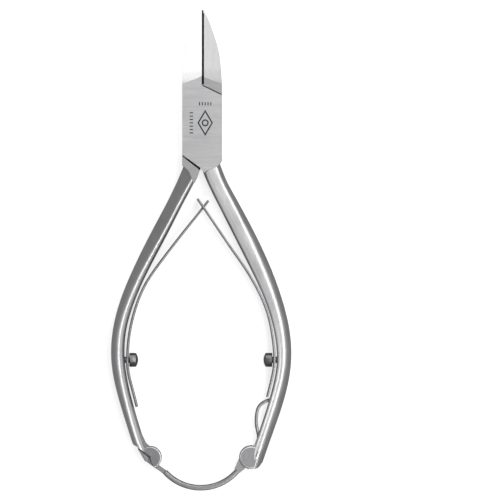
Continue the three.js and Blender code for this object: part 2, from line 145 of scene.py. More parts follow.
LEFT_HANDLE = [
    (-2.2, -9.6, 4.6, 9.2, 0.8, 0.6, 3.0, 1.6, 2.2),
    (-3.4, -12.6, 4.6, 9.2, 0.9, 0.6, 3.0, 1.6, 2.2),
    (-5.1, -16.3, 4.4, 9.15, ROUND, 0.5, 3.0, 1.55, 2.2),
    (-7.0, -20.1, 4.2, 9.1, ROUND, 0.45, 3.0, 1.5, 2.2),
    (-12.3, -30.3, 4.3, 9.2, ROUND, 0.4, 3.0, 1.5, 2.2),
    (-17.6, -40.7, 4.0, 9.25, ROUND, 0.25, 2.7, 1.6, 2.2),
    (-21.0, -48.7, 3.85, 9.2, ROUND, 0.15, 2.5, 1.8, 2.2),
    (-23.35, -57.2, 3.7, 9.1, ROUND, 0.05, 2.3, 2.0, 2.2),
    (-23.8, -66.0, 3.7, 9.0, ROUND, 0.0, 2.2, 2.0, 2.3),
    (-22.2, -75.2, 3.5, 8.5, ROUND, -0.05, 2.2, 2.0, 2.3),
    (-19.0, -86.1, 3.3, 7.6, ROUND, -0.2, 2.1, 2.0, 2.3),
    (-17.1, -91.2, 3.2, 7.0, ROUND, -0.2, 2.1, 2.0, 2.3),
    (-15.4, -94.0, 3.0, 6.8, ROUND, -0.2, 2.1, 2.0, 2.3),
]
LEFT_LOBE = (-14.6, -93.4)
RIGHT_LOBE = ((HINGE_LOW.x + HINGE_HIGH.x) / 2, (HINGE_LOW.y + HINGE_HIGH.y) / 2)
LOBE_THICKNESS = 6.6
WEB_THICKNESS = LOBE_THICKNESS - 0.3
END_Y = -96.6
FORK_RADIUS = 3.6
FORK_WIDTH = 3.4
GROOVE_WIDTH = 3.2
PIVOT_BORE_LENGTH = 7.6
HINGE_BORE_LENGTH = 6.04
HINGE_PIN_RADIUS = 0.8

LEFT_LEAF = [
    (-18.45, -79.1), (-19.95, -73.4), (-21.05, -68.4), (-21.15, -65.0), (-20.75, -59.5),
    (-19.55, -53.5), (-17.75, -48.0), (-15.6, -43.6), (-12.9, -39.6), (-9.3, -34.8),
    (-3.0, -26.8), (1.8, -20.7),
]
RIGHT_LEAF = [
    (18.45, -76.3), (19.55, -71.8), (20.3, -68.0), (20.45, -65.0), (20.0, -59.8),
    (18.8, -53.6), (17.1, -48.8), (14.9, -44.4), (12.4, -40.2), (9.0, -35.3),
    (3.4, -27.1), (-1.3, -20.2),
]
LEAVES_CROSS = (0.3, -22.6)
LATCH_SPRING = [
    (19.5, -77.0), (17.8, -77.6), (16.1, -79.0), (15.4, -81.5), (15.4, -84.5), (15.9, -87.2),
    (15.9, -89.1),
]
WINDOW_WIDTH = 3.2
NARROW_LEAF_WIDTH = 2.2
LATCH_SPRING_THICKNESS = 0.9
LATCH_SPRING_WIDTH = 2.8
POCKET_THICKNESS = 1.4
POCKET_WIDTH = 3.3

SCREW_Y = -65.8
LEFT_SCREW_SEAT_X = -20.6
RIGHT_SCREW_SEAT_X = 19.85
SHANK_RADIUS = 0.9
SHANK_LENGTH = 3.2
SCREW_SLOT_HALF_WIDTH = 0.3
SCREW_SLOT_DEPTH = 0.85
SCREW_HOLE_RADIUS = 1.1
SCREW_HOLE_SPAN = (18, 23.4)

STRAP_CENTRE = (-0.4, -88.4)
STRAP_RADIUS = 13.6
STRAP_SHOULDER = math.radians(222.5)
STRAP_ROOT = math.radians(320)
HEAD_FACE_X = -15.05
HEAD_WALL_X = -14.45
EYE_WIDTH = 3.0
NECK_WIDTH = 2.4
# Width of the ledge under the strap's head that is painted black as shade
SHADE_LEDGE_WIDTH = 2.2
HEAD_WIDTH = 6.3

MARK_CENTRE = (0.9, 1.2)
RHOMBUS_HALF_WIDTH = 2.2
RHOMBUS_HALF_HEIGHT = 3.7
MARK_LINE = 0.4
RING_RADII = (1.0, 0.6)
# Rows of ticks: count, centre, pitch and the size of one tick
TICK_ROWS = (
    (5, (0.9, 6.6), (0.8, 0), (0.3, 0.9)),
    (7, (-3.0, 1.2), (0, -0.95), (0.95, 0.3)),
)

# Stage, in metres; levels of light are what a mirror would show
FLOOR_HALF_SIZE = 1.5
FLOOR_DROP = 0.02 * MM
BACKDROP_LEVEL = 0.93
FLOOR_GLOW = 0.64
ROOM_HORIZON = 0.26
ROOM_ZENITH = 0.34
# Soft boxes: name, place, width, height, level, the Y that each is aimed at, and the one piece
# that it lights, if any
PANELS = (
    ("overhead strip", (0.13, -0.05, 0.5), 0.11, 0.7, 4.2, -0.05, None),
    ("left soft box", (-0.26, 0.08, 0.43), 0.2, 0.3, 3.4, 0.02, "box_half_finished"),
    ("far soft box", (0.0, 0.45, 0.31), 0.52, 0.5, 1.3, 0.01, None),
    ("far left soft box", (-0.05, 0.40, 0.35), 0.5, 0.3, 1.3, 0.01, "box_half_finished"),
    ("left fill", (-0.47, -0.06, 0.2), 0.4, 0.6, 0.65, -0.04, "box_half_finished"),
    ("right fill", (0.47, -0.06, 0.2), 0.4, 0.6, 0.6, -0.04, "tongue_half_finished"),
)


# --- Settings ---

def length(name, description, value):
    return bpy.props.FloatProperty(
        name=name, description=description, default=value * MM, unit="LENGTH", precision=5
    )


def colour(name, description, grey):
    return bpy.props.FloatVectorProperty(
        name=name, description=description, default=grey, size=3, subtype="COLOR", min=0.0, max=1.0
    )


def factor(name, description, value):
    return bpy.props.FloatProperty(
        name=name, description=description, default=value, min=0.0, max=1.0, subtype="FACTOR"
    )


class NipperSizes(bpy.types.PropertyGroup):
    """Sizes of the nipper's pieces"""

    tongue_radius: length("Tongue radius", "Radius of the tongue that turns in the box", 9.9)
    tongue_thickness: length("Tongue thickness", "Thickness of the tongue", 3.3)
    slot_clearance: length("Slot clearance", "Gap on each side of the tongue", 0.15)
    slot_radius: length("Slot radius", "Radius of the slot round the tongue", 10.15)
    pin_radius: length("Pivot pin radius", "Radius of the pin through the box joint", 1.5)
    pin_clearance: length("Pin clearance", "Gap round each pin", 0.12)
    lobe_radius: length("Lobe radius", "Radius of the round lobes at the handles' ends", 3.15)
    lobe_edge: length("Lobe edge radius", "Rounding of the lobes' edges", 0.35)
    leaf_thickness: length("Leaf thickness", "Thickness of the leaf springs", 0.7)
    leaf_width: length("Leaf width", "Width of the leaf springs", 5.0)
    screw_head_radius: length("Screw head radius", "Radius of the spring screws' heads", 1.98)
    screw_head_height: length("Screw head height", "Height of the cylindrical part of a head", 1.85)
    screw_dome_height: length("Screw dome height", "Height of the dome on a head", 0.65)
    strap_thickness: length("Strap thickness", "Thickness of the locking strap", 1.45)
    strap_width: length("Strap width", "Width of the locking strap", 4.8)
    eye_radius: length("Eye radius", "Radius of the strap's hinge eye", 3.3)
    etch_depth: length("Etching depth", "Depth of the etched mark", 0.05)
    edge_break: length("Edge break", "Rounding of the ground edges", 0.12)


class NipperFinish(bpy.types.PropertyGroup):
    """Colours and roughness of the nipper's steels"""

    ground_colour: colour("Ground flats", "Colour of the ground flat faces", (0.39, 0.39, 0.395))
    satin_colour: colour("Satin handles", "Colour of the satin handles", (0.63, 0.63, 0.635))
    spring_colour: colour("Springs", "Colour of the springs", (0.27, 0.27, 0.28))
    screw_colour: colour("Screws", "Colour of the screws", (0.22, 0.22, 0.23))
    strap_colour: colour("Strap", "Colour of the locking strap", (0.33, 0.33, 0.34))
    etch_colour: colour("Etching", "Colour of the etched mark", (0.05, 0.05, 0.055))
    floor_colour: colour("Floor", "Colour of the floor", (0.93, 0.93, 0.93))
    ground_roughness: factor("Ground roughness", "Roughness of the ground flat faces", 0.46)
    satin_roughness: factor("Satin roughness", "Roughness of the satin handles", 0.36)


def sizes():
    return bpy.context.scene.nipper_sizes


def finish():
    return bpy.context.scene.nipper_finish


# --- Curves ---

def smooth_curve(points, count):
    """Natural cubic spline through the points, sampled evenly by length."""
    values = np.array(points, float)
    spans = np.linalg.norm(np.diff(values[:, :2], axis=0), axis=1)
    knots = np.concatenate([[0.0], np.cumsum(spans)])
    size = len(knots)
    system = np.eye(size)
    right = np.zeros_like(values)
    for row in range(1, size - 1):
        before, after = spans[row - 1], spans[row]
        system[row, row - 1:row + 2] = before, 2 * (before + after), after
        slope_after = (values[row + 1] - values[row]) / after
        slope_before = (values[row] - values[row - 1]) / before
        right[row] = 6 * (slope_after - slope_before)
    bending = np.linalg.solve(system, right)
    where = np.linspace(0, knots[-1], count)
    span = np.clip(np.searchsorted(knots, where, side="right") - 1, 0, size - 2)
    width = spans[span][:, None]
    ahead = (knots[span + 1] - where)[:, None]
    behind = (where - knots[span])[:, None]
    return (
        bending[span] * ahead ** 3 / (6 * width)
        + bending[span + 1] * behind ** 3 / (6 * width)
        + (values[span] / width - bending[span] * width / 6) * ahead
        + (values[span + 1] / width - bending[span + 1] * width / 6) * behind
    )


def smooth_path(points, count):
    return [tuple(p) for p in smooth_curve(points, count)]


def arc(centre, radius, start, end, count):
    angles = np.linspace(start, end, count)
    return [(centre[0] + radius * math.cos(a), centre[1] + radius * math.sin(a)) for a in angles]


# --- Solids ---

def add_object(name, data):
    added = bpy.data.objects.new(name, data)
    bpy.context.scene.collection.objects.link(added)
    return added


def mesh_object(name, vertices, faces):
    mesh = bpy.data.meshes.new(name)
    mesh.from_pydata([tuple(v) for v in vertices], [], faces)
    return face_outwards(add_object(name, mesh))


def face_outwards(solid, merge=False):
    """Turns all faces outwards, with doubled corners merged first if asked."""
    mesh = bmesh.new()
    mesh.from_mesh(solid.data)
    if merge:
        bmesh.ops.remove_doubles(mesh, verts=mesh.verts, dist=DOUBLES_APART)
    bmesh.ops.recalc_face_normals(mesh, faces=mesh.faces)
    mesh.to_mesh(solid.data)
    mesh.free()
    return solid


def prism(name, outline, low, high, place, edge=0.0):
    """An outline made solid; place(u, v, w) puts each corner, all in mm."""
    count = len(outline)
    corners = [place(u, v, w) for w in (low, high) for u, v in outline]
    faces = [tuple(range(count)), tuple(range(count, 2 * count))]
    faces += [(i, (i + 1) % count, count + (i + 1) % count, count + i) for i in range(count)]
    solid = mesh_object(name, [Vector(c) * MM for c in corners], faces)
    if edge:
        round_edges(solid, edge)
    return solid


def round_edges(solid, radius):
    mesh = bmesh.new()
    mesh.from_mesh(solid.data)
    sharp = [e for e in mesh.edges if e.is_manifold and e.calc_face_angle(0) > SHARP_ANGLE]
    bmesh.ops.bevel(
        mesh, geom=sharp, offset=radius * MM, segments=3, profile=0.5, affect="EDGES",
        clamp_overlap=True,
    )
    mesh.to_mesh(solid.data)
    mesh.free()


def plate(outline, low, high, edge=0.0):
    return prism("plate", outline, low, high, lambda u, v, w: (u, v, w), edge)


def circle(centre, radius, count=128):
    return arc(centre, radius, 0, 2 * math.pi, count + 1)[:-1]


def middle_plate(outline, width, edge=0.0):
    return plate(outline, MIDDLE - width / 2, MIDDLE + width / 2, edge)


def middle_disc(centre, radius, width, edge=0.0):
    return middle_plate(circle(centre, radius), width, edge)


def through_plate(outline):
    return plate(outline, -BEYOND, FRONT + BEYOND)


def loft(rings):
    """Rings of equal length, skinned and capped; all in mm."""
    count = len(rings[0])
    vertices = [Vector(point) * MM for ring in rings for point in ring]
    faces = [tuple(range(count)), tuple(range(len(vertices) - count, len(vertices)))]
    for row in range(len(rings) - 1):
        for i in range(count):
            j = (i + 1) % count
            faces.append((
                row * count + i, row * count + j, (row + 1) * count + j, (row + 1) * count + i
            ))
    return mesh_object("loft", vertices, faces)


def combine(body, tool, operation):
    """Joins or cuts body with tool, and uses the tool up."""
    boolean = body.modifiers.new("combine", "BOOLEAN")
    boolean.operation = operation
    boolean.solver = "MANIFOLD"
    boolean.object = tool
    settle(body)
    bpy.data.objects.remove(tool)
    return body


def settle(body):
    """Makes the modifiers' result the object's own mesh."""
    graph = bpy.context.evaluated_depsgraph_get()
    mesh = bpy.data.meshes.new_from_object(body.evaluated_get(graph))
    body.modifiers.clear()
    body.data = mesh
    return body


def join(body, *tools):
    for tool in tools:
        combine(body, tool, "UNION")
    return body


def cut(body, *tools):
    for tool in tools:
        combine(body, tool, "DIFFERENCE")
    return body


# --- Jaws ---

def jaw_plan(side):
    outer = reversed(smooth_path(JAW_SIDE, 70))
    plan = [(EDGE_GAP, JAW_ROOT_Y), *outer, (EDGE_GAP, TIP_Y)]
    return [(side * x, y) for x, y in plan]


def back_cutter():
    """Everything under the curve of the jaws' back, which rises to the tip."""
    back = smooth_path(JAW_BACK, 80)
    root_y, tip_z = back[0][0], back[-1][1]
    outline = [
        *back, (TIP_Y + BEYOND, tip_z + BEYOND), (TIP_Y + BEYOND, -BEYOND), (root_y, -BEYOND),
    ]
    reach = 2 * BOX_HALF_WIDTH
    return prism("back", outline, -reach, reach, lambda u, v, w: (w, u, v))


def bevel_cutter(side):
    """A grinding-wheel arc that runs out into a shallow slope, tilted outwards."""
    lowest = -BEVEL_DEPTH
    wheel = (BEVEL_LOWEST_Y, lowest + BEVEL_WHEEL_RADIUS)
    outline = arc(wheel, BEVEL_WHEEL_RADIUS, math.radians(222), math.radians(270), 17)
    outline += [
        (TIP_Y - 2.2, lowest - 0.25), (TIP_Y + BEYOND, lowest - 0.6), (TIP_Y + BEYOND, wheel[1]),
    ]
    cos, sin = math.cos(side * BEVEL_TILT), math.sin(side * BEVEL_TILT)

    def tilted(u, v, w):
        return w * cos + v * sin, u, v * cos - w * sin + FRONT

    return prism("bevel", outline, -2 * BOX_HALF_WIDTH, 2 * BOX_HALF_WIDTH, tilted)


def relief_cutter():
    """A wedge of air behind the cutting edges."""
    half = RELIEF_HALF_WIDTH
    wedge = [(-half, -BEYOND), (half, -BEYOND), (0, FRONT - RELIEF_DROP)]
    return prism("relief", wedge, RELIEF_START_Y, TIP_Y + BEYOND, lambda u, v, w: (u, w, v))


def parting_bar(low_x, high_x, high_y, low_z, high_z):
    """A straight bar along the parting line; heights are measured down from the front face."""
    start = PARTING_START_Y
    outline = [(low_x, start), (high_x, start), (high_x, high_y), (low_x, high_y)]
    return plate(outline, FRONT - low_z, FRONT - high_z)


def jaw(side):
    """One jaw; the left jaw has two lips that lie in a step of the right jaw."""
    blank = plate(jaw_plan(side), 0, FRONT)
    cut(blank, back_cutter(), bevel_cutter(side), relief_cutter())
    if side > 0:
        inner_x = LIPS[0][0]
        return cut(
            blank, parting_bar(inner_x, STEP_WIDTH, TIP_Y + BEYOND, STEP_DEPTH, -BEYOND)
        )
    for inner_x, high_y, low_z, high_z in LIPS:
        join(blank, parting_bar(inner_x, STEP_WIDTH - LIP_CLEARANCE, high_y, low_z, high_z))
    return blank


# --- Handles ---

RING_CORNER_STEPS = 14
HANDLE_RINGS = 190


def handle_ring(centre, across, width, depth, roundness, crest, corner_z, left, right):
    """A rounded bar's section, across the handle's path.

    Each corner is a superellipse; crest slides the top line from -1, the left edge, to 1, and
    left and right are the fullness of the two flanks.
    """
    ring = []
    for corner, (sign_x, sign_z) in enumerate(((1, 1), (-1, 1), (-1, -1), (1, -1))):
        power = 2 / (right if sign_x > 0 else left)
        for step in range(RING_CORNER_STEPS + 1):
            angle = (corner + step / RING_CORNER_STEPS) * math.pi / 2
            u = sign_x * (1 - roundness + roundness * abs(math.cos(angle)) ** power)
            z = sign_z * (depth / 2 - corner_z + corner_z * abs(math.sin(angle)) ** power)
            x = width / 2 * (u + crest) / (1 + crest * u)
            ring.append((centre[0] + across[0] * x, centre[1] + across[1] * x, MIDDLE + z))
    return ring


def handle(stations):
    samples = smooth_curve(stations, HANDLE_RINGS)
    tangents = np.gradient(samples[:, :2], axis=0)
    tangents /= np.linalg.norm(tangents, axis=1)[:, None]
    rings = []
    for sample, tangent in zip(samples, tangents):
        width, depth, roundness, *rest = sample[2:]
        depth, roundness = min(depth, FRONT), min(roundness, ROUND)
        across = (-tangent[1], tangent[0])
        rings.append(handle_ring(sample[:2], across, width, depth, roundness, *rest))
    return loft(rings)


def lobe(centre):
    """A round lobe with flat faces and rounded edges."""
    radius = in_mm(sizes().lobe_radius)
    return middle_disc(centre, radius, LOBE_THICKNESS, in_mm(sizes().lobe_edge))


def screw_hole(side):
    outline = circle((SCREW_Y, MIDDLE), SCREW_HOLE_RADIUS, 48)
    low, high = sorted(side * x for x in SCREW_HOLE_SPAN)
    return prism("hole", outline, low, high, lambda u, v, w: (w, u, v))


# --- The two halves ---

def cheek_plan():
    half = BOX_HALF_WIDTH
    return [
        (-half, LEFT_SEAM_Y), (-0.45, YOKE_Y), (0.1, YOKE_Y - 0.8), (0.55, -12.95), (1.1, -12.45),
        (1.8, -12.1), (2.6, -11.9), (3.4, -11.65), (4.2, -11.2), (4.9, -10.5), (half, -9.4),
        (half, RIGHT_SEAM_Y), (-EDGE_GAP, CENTRE_SEAM_Y), (-half, CENTRE_SEAM_Y),
    ]


def slot_cutters():
    reach = 4 * BOX_HALF_WIDTH
    width = in_mm(sizes().tongue_thickness + 2 * sizes().slot_clearance)
    upper_right = [(-EDGE_GAP, 0), (reach, 0), (reach, reach), (-EDGE_GAP, reach)]
    lower_left = [(-0.1, 0), (-0.1, -reach), (-reach, -reach), (-reach, 0)]
    return (
        middle_disc((0, 0), in_mm(sizes().slot_radius), width),
        middle_plate(upper_right, width),
        middle_plate(lower_left, width),
    )


def fork_cutters():
    x, y = RIGHT_LOBE
    below = [(x - 5, y), (x - 5, y - 6), (x + 7, y - 6), (x + 7, y)]
    return middle_disc(RIGHT_LOBE, FORK_RADIUS, FORK_WIDTH), middle_plate(below, FORK_WIDTH)


def box_half():
    """The left jaw, the box and the right handle, whose lobe stops at the handle's ridge."""
    clearance = in_mm(sizes().pin_clearance)
    web = [(16.3, -86.2), (15.4, -88.3), (14.9, -89.6), RIGHT_LOBE, (16.5, -92), (18.5, -86)]
    end_trim = [
        (5, END_Y), (14.9, END_Y), (15.7, -96.35), (16.3, -95.85), (16.8, -95.0), (20, -93.5),
        (20, -105), (5, -105),
    ]
    outer_side = [(16.9, -88), (15.85, -92.6), (14.4, -97.4), (14.2, -99), (22, -99), (22, -88)]
    inner_lobe = cut(lobe(RIGHT_LOBE), through_plate(outer_side))
    body = plate(cheek_plan(), 0, FRONT)
    join(body, jaw(-1), handle(RIGHT_HANDLE), inner_lobe, middle_plate(web, WEB_THICKNESS))
    cut(body, through_plate(end_trim), *slot_cutters(), *fork_cutters())
    cut(body, middle_disc((0, 0), in_mm(sizes().pin_radius) + clearance, PIVOT_BORE_LENGTH))
    cut(body, middle_disc(RIGHT_LOBE, HINGE_PIN_RADIUS + clearance, HINGE_BORE_LENGTH))
    cut(body, latch_spring_pocket(), screw_hole(1))
    body.name = "box_half_finished"
    return body


def tongue():
    half = BOX_HALF_WIDTH
    width = in_mm(sizes().tongue_thickness)
    box = [(-half, -2 * half), (half, -2 * half), (half, 2 * half), (-half, 2 * half)]
    upper_right = [
        (EDGE_GAP, 0), (half, 0), (half, RIGHT_SEAM_Y + 1), (EDGE_GAP, CENTRE_SEAM_Y + 1),
    ]
    lower_left = [(-0.5, 0), (-0.5, YOKE_Y - 0.6), (-half, LEFT_SEAM_Y - 1), (-half, 0)]
    body = middle_disc((0, 0), in_mm(sizes().tongue_radius), width)
    combine(body, middle_plate(box, width), "INTERSECT")
    return join(body, middle_plate(upper_right, width), middle_plate(lower_left, width))


def right_jaw():
    half = BOX_HALF_WIDTH
    below = [
        (0, CENTRE_SEAM_Y + SEAM_GAP), (half, RIGHT_SEAM_Y + SEAM_GAP), (2 * half, RIGHT_SEAM_Y),
        (2 * half, 0), (0, 0),
    ]
    return cut(jaw(1), through_plate(below))


def notch_cutters():
    notch = [
        (-20, -89.4), (-18.4, -90.25), (HEAD_WALL_X, -93.1), (HEAD_WALL_X, -94.1), (-13.1, -97),
        (-20, -100),
    ]
    groove = [(-16.5, -92), (-9.5, -97.5), (-9.5, -100), (-20, -100)]
    return through_plate(notch), middle_plate(groove, GROOVE_WIDTH)


def tongue_half():
    """The right jaw, the tongue and the left handle, with a notch for the strap's head."""
    half = BOX_HALF_WIDTH
    yoke = [
        (-half, LEFT_SEAM_Y - 0.5), (-half, -10.9), (-5.1, -11.2), (-4.4, -11.7), (-3.75, -12.5),
        (-3.2, -13.5), (-2.85, -14.6), (-2.6, -15.6), (-2.15, -15.6), (-1.45, -14.2),
        (-0.75, YOKE_Y - 0.55),
    ]
    web = [(-17.5, -86), (-15.9, -89.4), (-14.3, -90.8), LEFT_LOBE, (-17.4, -91)]
    body = right_jaw()
    join(body, tongue(), plate(yoke, 0, FRONT), handle(LEFT_HANDLE), lobe(LEFT_LOBE))
    join(body, middle_plate(web, WEB_THICKNESS))
    cut(body, middle_disc((0, 0), in_mm(sizes().pin_radius + sizes().pin_clearance), FRONT))
    cut(body, *notch_cutters(), screw_hole(-1))
    body.name = "tongue_half_finished"
    return body


# --- Strips that follow a path ---

def link(tree, source, socket, target, name):
    tree.links.new(source.outputs[socket], target.inputs[name])


def new_tree(name, inputs):
    """A Geometry Nodes tree with an output, the named inputs and one for the steel."""
    tree = bpy.data.node_groups.new(name, "GeometryNodeTree")
    for label, kind in (*inputs, ("Steel", "Material")):
        tree.interface.new_socket(label, in_out="INPUT", socket_type="NodeSocket" + kind)
    tree.interface.new_socket("Piece", in_out="OUTPUT", socket_type="NodeSocketGeometry")
    return tree, tree.nodes.new("NodeGroupInput")


def end_tree(tree, start, source, socket):
    """Realizes the instances, sets the steel and hands the piece out."""
    realize = tree.nodes.new("GeometryNodeRealizeInstances")
    paint = tree.nodes.new("GeometryNodeSetMaterial")
    end = tree.nodes.new("NodeGroupOutput")
    link(tree, source, socket, realize, "Geometry")
    link(tree, realize, "Geometry", paint, "Geometry")
    link(tree, start, "Steel", paint, "Material")
    link(tree, paint, "Geometry", end, "Piece")
    return tree


def strip_tree():
    """A Geometry Nodes tree that sweeps a rounded flat section along a curve."""
    tree, start = new_tree("Flat spring strip", (
        ("Path", "Geometry"), ("Thickness", "Float"), ("Width", "Float"), ("Edge radius", "Float"),
    ))
    normal = tree.nodes.new("GeometryNodeSetCurveNormal")
    normal.mode = "Z_UP"
    section = tree.nodes.new("GeometryNodeCurvePrimitiveQuadrilateral")
    round_off = tree.nodes.new("GeometryNodeFilletCurve")
    round_off.mode = "POLY"
    round_off.inputs["Count"].default_value = 3
    sweep = tree.nodes.new("GeometryNodeCurveToMesh")
    sweep.inputs["Fill Caps"].default_value = True
    link(tree, start, "Path", normal, "Curve")
    link(tree, start, "Thickness", section, "Width")
    link(tree, start, "Width", section, "Height")
    link(tree, start, "Edge radius", round_off, "Radius")
    link(tree, section, "Curve", round_off, "Curve")
    link(tree, normal, "Curve", sweep, "Curve")
    link(tree, round_off, "Curve", sweep, "Profile Curve")
    return end_tree(tree, start, sweep, "Mesh")


def set_inputs(modifier, values):
    for item in modifier.node_group.interface.items_tree:
        if item.item_type == "SOCKET" and item.in_out == "INPUT" and item.name in values:
            modifier[item.identifier] = values[item.name]


def strip(name, path, thickness, width, steel, edge=0.12):
    """A flat strip along a plan path, half way up the nipper; sizes in mm."""
    curve = bpy.data.curves.new(name, "CURVE")
    curve.dimensions = "3D"
    spline = curve.splines.new("POLY")
    spline.points.add(len(path) - 1)
    for point, (x, y) in zip(spline.points, path):
        point.co = (x * MM, y * MM, MIDDLE * MM, 1)
    guide = add_object(name, curve)
    modifier = guide.modifiers.new("strip", "NODES")
    modifier.node_group = bpy.data.node_groups.get("Flat spring strip") or strip_tree()
    set_inputs(modifier, {
        "Thickness": thickness * MM, "Width": width * MM, "Edge radius": edge * MM, "Steel": steel,
    })
    graph = bpy.context.evaluated_depsgraph_get()
    mesh = bpy.data.meshes.new_from_object(guide.evaluated_get(graph))
    bpy.data.objects.remove(guide)
    return face_outwards(add_object(name, mesh), merge=True)


def leaf(name, points, steel):
    path = smooth_path(points, 150)
    return strip(name, path, in_mm(sizes().leaf_thickness), in_mm(sizes().leaf_width), steel)


def right_leaf(steel):
    """The right leaf has a window round the place where the leaves cross."""
    x, y = LEAVES_CROSS
    window = [(x + 2.6, y - 5), (x - 3, y - 3), (x - 1.9, y + 1.6), (x + 4, y - 1)]
    body = leaf("right_spring_finished", RIGHT_LEAF, steel)
    return cut(body, middle_plate(window, WINDOW_WIDTH), screw_hole(1))


def left_leaf(steel):
    """The left leaf is narrow where it passes through the window."""
    x, y = LEAVES_CROSS
    side = [(x + 5, y - 1), (x - 1.2, y - 5), (x - 6, y - 1), (x, y + 5)]
    narrow = cut(through_plate(side), middle_plate(side, NARROW_LEAF_WIDTH))
    body = leaf("left_spring_finished", LEFT_LEAF, steel)
    return cut(body, narrow, screw_hole(-1))


def latch_spring(steel):
    return strip(
        "latch_spring_finished", smooth_path(LATCH_SPRING, 90), LATCH_SPRING_THICKNESS,
        LATCH_SPRING_WIDTH, steel, 0.2,
    )


def latch_spring_pocket():
    """Cuts room for the latch spring's two ends in the right handle."""
    path = smooth_path([(20.2, -76.8), *LATCH_SPRING, (15.3, -90.4)], 60)
    return strip("pocket", path, POCKET_THICKNESS, POCKET_WIDTH, None, 0.1)


# --- Locking strap ---

def strap(steel):
    """A curved band with an eye at its hinge, and a neck with a hook head at its free end."""
    x, y = RIGHT_LOBE
    eye = in_mm(sizes().eye_radius)
    shade_ledge_x = HEAD_WALL_X - 0.12
    band = arc(STRAP_CENTRE, STRAP_RADIUS, STRAP_SHOULDER, STRAP_ROOT, 90)
    root = [(9.2, -96.5), (10.6, -97.8), (12.4, -96.3), (x, y), (x - eye, y - 0.4), (9.6, -95.6)]
    neck = [(-16.1, -92.9), (-9.9, -97.3), (-10.6, -98.3), (-16.1, -94.35)]
    # Painted shade: the ledge fills the gap under the head and is painted black, standing in for
    # the shadow there
    shade_ledge = [(-18.3, -90.6), (shade_ledge_x, -93.2), (shade_ledge_x, -94.1), (-16.1, -94.4)]
    head = [(-18.2, -90.85), (HEAD_FACE_X, -93.35), (HEAD_FACE_X, -94.35), (-16.1, -94.45)]
    body = strip(
        "latch_strap_finished", band, in_mm(sizes().strap_thickness), in_mm(sizes().strap_width),
        steel, 0.3,
    )
    join(body, middle_plate(root, EYE_WIDTH), middle_disc(RIGHT_LOBE, eye, EYE_WIDTH, 0.2))
    join(body, middle_plate(neck, NECK_WIDTH), middle_plate(shade_ledge, SHADE_LEDGE_WIDTH))
    join(body, middle_plate(head, HEAD_WIDTH, 0.12))
    bore = middle_disc(RIGHT_LOBE, HINGE_PIN_RADIUS + in_mm(sizes().pin_clearance), FRONT)
    return cut(body, bore)


# --- Spring screws ---

def spring_screw(name, side, seat_x):
    """A cheese-head screw with a low dome and a slot; its head points along -side."""
    head = in_mm(sizes().screw_head_radius)
    height = in_mm(sizes().screw_head_height)
    dome = in_mm(sizes().screw_dome_height)
    ball = (head ** 2 + dome ** 2) / (2 * dome)
    dome_start = math.pi / 2 - math.asin(head / ball) * 0.97
    top = height + dome
    profile = [
        (SHANK_RADIUS, -SHANK_LENGTH), (SHANK_RADIUS, 0.0), (head - 0.15, 0.0), (head, 0.15),
        (head, height - 0.12), *arc((0, top - ball), ball, dome_start, math.pi / 2, 14)[:-1],
    ]
    body = loft([
        [(seat_x - side * z, u, v) for u, v in circle((SCREW_Y, MIDDLE), radius, 72)]
        for radius, z in profile
    ])
    body.name = name
    low_u, high_u = SCREW_Y - BEYOND, SCREW_Y + BEYOND
    low_v, high_v = MIDDLE - SCREW_SLOT_HALF_WIDTH, MIDDLE + SCREW_SLOT_HALF_WIDTH
    slot = [(low_u, low_v), (high_u, low_v), (high_u, high_v), (low_u, high_v)]
    low, high = sorted((seat_x - side * (top - SCREW_SLOT_DEPTH), seat_x - side * (top + 1)))
    return cut(body, prism("slot", slot, low, high, lambda u, v, w: (w, u, v)))


# --- Etched mark ---

def tick_tree():
    """A Geometry Nodes tree that repeats a small block along a straight row."""
    tree, start = new_tree("Row of ticks", (
        ("Count", "Int"), ("Start", "Vector"), ("Pitch", "Vector"), ("Tick size", "Vector"),
    ))
    row = tree.nodes.new("GeometryNodeMeshLine")
    tick = tree.nodes.new("GeometryNodeMeshCube")
    place = tree.nodes.new("GeometryNodeInstanceOnPoints")
    link(tree, start, "Count", row, "Count")
    link(tree, start, "Start", row, "Start Location")
    link(tree, start, "Pitch", row, "Offset")
    link(tree, start, "Tick size", tick, "Size")
    link(tree, row, "Mesh", place, "Points")
    link(tree, tick, "Mesh", place, "Instance")
    return end_tree(tree, start, place, "Instances")


def tick_row(count, centre, pitch, size, steel):
    """A row of blocks that reaches from the etching's floor to above the front face."""
    depth = in_mm(sizes().etch_depth)
    height = depth + 1
    first = [c - p * (count - 1) / 2 for c, p in zip(centre, pitch)]
    start = (first[0] * MM, first[1] * MM, (FRONT - depth + height / 2) * MM)
    row = add_object("ticks", bpy.data.meshes.new("ticks"))
    modifier = row.modifiers.new("ticks", "NODES")
    modifier.node_group = bpy.data.node_groups.get("Row of ticks") or tick_tree()
    set_inputs(modifier, {
        "Count": count, "Start": start, "Pitch": (pitch[0] * MM, pitch[1] * MM, 0),
        "Tick size": (size[0] * MM, size[1] * MM, height * MM), "Steel": steel,
    })
    return face_outwards(settle(row), merge=True)


def etched_ring(outer, inner):
    low = FRONT - in_mm(sizes().etch_depth)
    return cut(plate(outer, low, FRONT + 1), plate(inner, low - 1, FRONT + 2))


def rhombus(centre, half_width, half_height):
    x, y = centre
    return [(x - half_width, y), (x, y - half_height), (x + half_width, y), (x, y + half_height)]


def etch_mark(body, steel):
    """A plain rhombus round a ring, with a row of ticks above it and a column beside it."""
    half_width, half_height = RHOMBUS_HALF_WIDTH, RHOMBUS_HALF_HEIGHT
    outer = rhombus(MARK_CENTRE, half_width, half_height)
    inner = rhombus(MARK_CENTRE, half_width - MARK_LINE * 1.15, half_height - MARK_LINE * 1.9)
    cut(body, etched_ring(outer, inner))
    cut(body, etched_ring(*(circle(MARK_CENTRE, radius, 64) for radius in RING_RADII)))
    for row in TICK_ROWS:
        cut(body, tick_row(*row, steel))
    return body


# --- Materials ---

